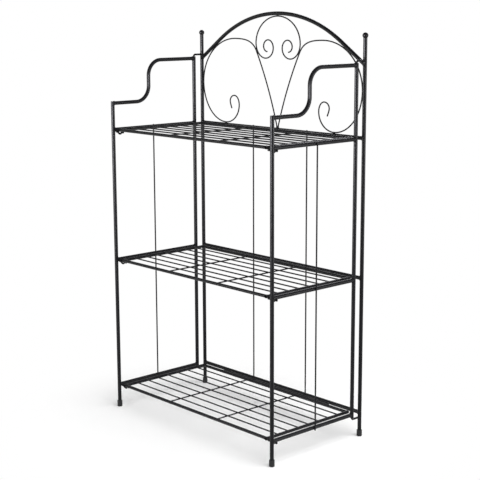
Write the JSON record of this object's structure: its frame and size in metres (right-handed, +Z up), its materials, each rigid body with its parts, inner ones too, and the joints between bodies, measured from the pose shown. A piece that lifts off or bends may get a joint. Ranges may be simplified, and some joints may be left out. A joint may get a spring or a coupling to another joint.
{
  "type": "folding tiered plant stand",
  "caption": "Folding plant stand of black steel tube: wire shelves hinged to a back frame with an arch and scrollwork, between swinging side frames with curved arms.",
  "frame": {"origin": "on the floor, under the middle of the stand's box", "axes": "+Z up, -Y towards the front, +X to the right of a person facing the front"},
  "size_m": [0.7208, 0.3754, 1.2323],
  "materials": {
    "powder_coat": "satin black powder coat",
    "foot_cap": "matte black moulded cap"
  },
  "bodies": {
    "back_frame": {"rear_post_left": "powder_coat", "rear_foot_left": "foot_cap", "finial_left": "powder_coat", "back_wire_left": "powder_coat", "scroll_left": "powder_coat", "upper_side_pin_left": "powder_coat", "lower_side_pin_left": "powder_coat", "rear_post_right": "powder_coat", "rear_foot_right": "foot_cap", "finial_right": "powder_coat", "back_wire_right": "powder_coat", "scroll_right": "powder_coat", "upper_side_pin_right": "powder_coat", "lower_side_pin_right": "powder_coat", "arch_tube": "powder_coat", "scroll_center": "powder_coat", "bottom_rail": "powder_coat", "bottom_shelf_pin_left": "powder_coat", "bottom_shelf_pin_right": "powder_coat", "middle_rail": "powder_coat", "middle_shelf_pin_left": "powder_coat", "middle_shelf_pin_right": "powder_coat", "top_rail": "powder_coat", "top_shelf_pin_left": "powder_coat", "top_shelf_pin_right": "powder_coat"},
    "left_side_frame": {"front_post_left": "powder_coat", "front_foot_left": "foot_cap", "arm_tube_left": "powder_coat", "side_hinge_tube_left": "powder_coat", "side_wire_left": "powder_coat", "bottom_crossbar_left": "powder_coat", "middle_crossbar_left": "powder_coat", "top_crossbar_left": "powder_coat"},
    "right_side_frame": {"front_post_right": "powder_coat", "front_foot_right": "foot_cap", "arm_tube_right": "powder_coat", "side_hinge_tube_right": "powder_coat", "side_wire_right": "powder_coat", "bottom_crossbar_right": "powder_coat", "middle_crossbar_right": "powder_coat", "top_crossbar_right": "powder_coat"},
    "bottom_shelf": {"bottom_shelf_front_bar": "powder_coat", "bottom_shelf_rear_bar": "powder_coat", "bottom_shelf_left_bar": "powder_coat", "bottom_shelf_right_bar": "powder_coat", "bottom_shelf_wire_grid": "powder_coat", "bottom_shelf_hinge_tube": "powder_coat"},
    "middle_shelf": {"middle_shelf_front_bar": "powder_coat", "middle_shelf_rear_bar": "powder_coat", "middle_shelf_left_bar": "powder_coat", "middle_shelf_right_bar": "powder_coat", "middle_shelf_wire_grid": "powder_coat", "middle_shelf_hinge_tube": "powder_coat"},
    "top_shelf": {"top_shelf_front_bar": "powder_coat", "top_shelf_rear_bar": "powder_coat", "top_shelf_left_bar": "powder_coat", "top_shelf_right_bar": "powder_coat", "top_shelf_wire_grid": "powder_coat", "top_shelf_hinge_tube": "powder_coat"}
  },
  "joints": [
    {"name": "left_side_swing", "type": "hinge", "parent": "back_frame", "child": "left_side_frame", "pos_m": [-0.35, 0.14322, 0.064], "axis": [0, 0, -1], "range_deg": [0, 90]},
    {"name": "right_side_swing", "type": "hinge", "parent": "back_frame", "child": "right_side_frame", "pos_m": [0.35, 0.14322, 0.064], "axis": [0, 0, 1], "range_deg": [0, 90]},
    {"name": "bottom_shelf_fold", "type": "hinge", "parent": "back_frame", "child": "bottom_shelf", "pos_m": [0, 0.15982, 0.0725], "axis": [-1, 0, 0], "range_deg": [0, 90]},
    {"name": "middle_shelf_fold", "type": "hinge", "parent": "back_frame", "child": "middle_shelf", "pos_m": [0, 0.15982, 0.4765], "axis": [-1, 0, 0], "range_deg": [0, 90]},
    {"name": "top_shelf_fold", "type": "hinge", "parent": "back_frame", "child": "top_shelf", "pos_m": [0, 0.15982, 0.8805], "axis": [-1, 0, 0], "range_deg": [0, 90]}
  ]
}
